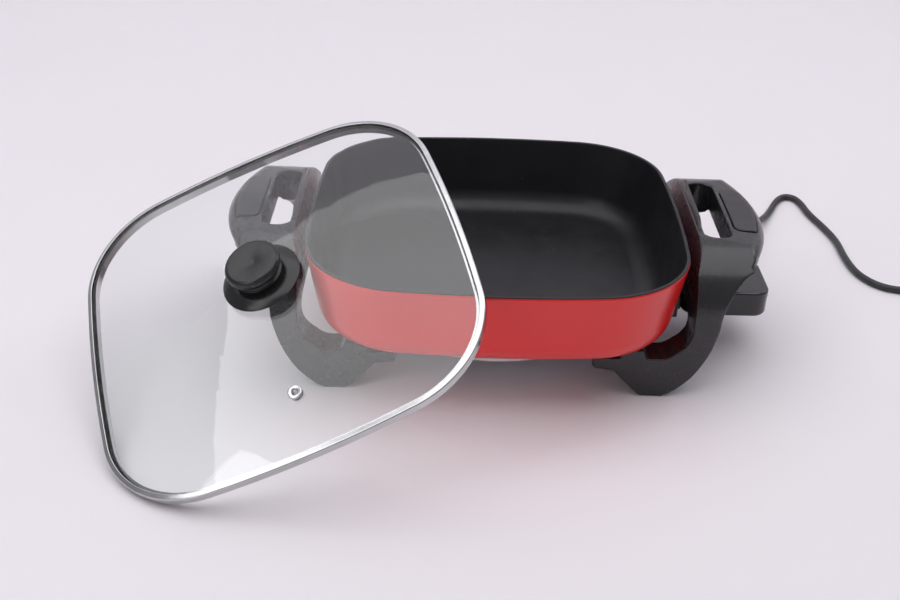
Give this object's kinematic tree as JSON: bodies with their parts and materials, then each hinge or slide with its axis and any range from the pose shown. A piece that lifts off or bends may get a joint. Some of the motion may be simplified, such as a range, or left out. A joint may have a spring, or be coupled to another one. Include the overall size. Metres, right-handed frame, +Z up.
{
  "type": "electric skillet",
  "caption": "Square electric skillet with leg-handles, plug-in thermostat with lead, and a lift-off domed glass lid leaning on the pan.",
  "frame": {"origin": "middle of the footprint box of skillet and leaning lid, on the surface it stands on", "axes": "+X to the thermostat side, +Y to the back, +Z up"},
  "size_m": [0.8493, 0.5609, 0.1854],
  "materials": {
    "red_enamel": "gloss",
    "nonstick": "satin",
    "bare_aluminium": "satin",
    "steel": "satin",
    "ceramic_white": "satin",
    "black_matt": "matt",
    "black_handle": "satin",
    "grip_pad": "matt",
    "rubber": "matt",
    "brass": "satin",
    "white_mark": "matt",
    "lamp_red": "gloss",
    "black_gloss": "gloss",
    "cord_black": "satin",
    "glass": "gloss",
    "chrome_steel": "polished"
  },
  "bodies": {
    "skillet": {"pan_body": "red_enamel", "nonstick_coating": "nonstick", "heater_base": "bare_aluminium", "heating_element": "steel", "terminal_pins": "steel", "ceramic_bushes": "ceramic_white", "sensor_sleeve": "steel", "terminal_guard": "black_matt", "right_leg_handle": "black_handle", "left_leg_handle": "black_handle", "right_grip_pad": "grip_pad", "left_grip_pad": "grip_pad", "right_heat_shield": "black_matt", "left_heat_shield": "black_matt", "leg_screws": "steel", "rubber_feet": "rubber"},
    "lid": {"lid_glass": "glass", "lid_band": "chrome_steel", "vent_eyelet": "chrome_steel", "knob_skirt": "black_gloss", "knob_top": "black_gloss", "knob_screw": "steel", "knob_washer": "steel", "knob_gaskets": "rubber"},
    "thermostat": {"thermostat_base": "black_gloss", "thermostat_cover": "black_gloss", "socket_block": "black_matt", "probe_rod": "steel", "contact_sockets": "brass", "lamp_lens": "lamp_red", "switch_block": "white_mark", "bimetal_strip": "brass", "thermostat_screws": "steel", "strain_relief": "rubber", "cord": "cord_black", "cord_coil": "cord_black", "cord_tail": "cord_black", "plug_body": "rubber", "plug_pins": "brass"},
    "dial": {"dial": "black_matt", "dial_pointer": "white_mark", "dial_shaft": "steel"}
  },
  "joints": [
    {"name": "lid_lift", "type": "slide", "parent": "skillet", "child": "lid", "axis": [0, 0, 1], "range_m": [0, 0.25]},
    {"name": "probe_pull_out", "type": "slide", "parent": "skillet", "child": "thermostat", "axis": [1, 0, 0], "range_m": [0, 0.08]},
    {"name": "dial_turn", "type": "hinge", "parent": "thermostat", "child": "dial", "pos_m": [0.24617, 0.05573, 0.06], "axis": [0, 0, 1], "range_deg": [-270, 0]}
  ]
}
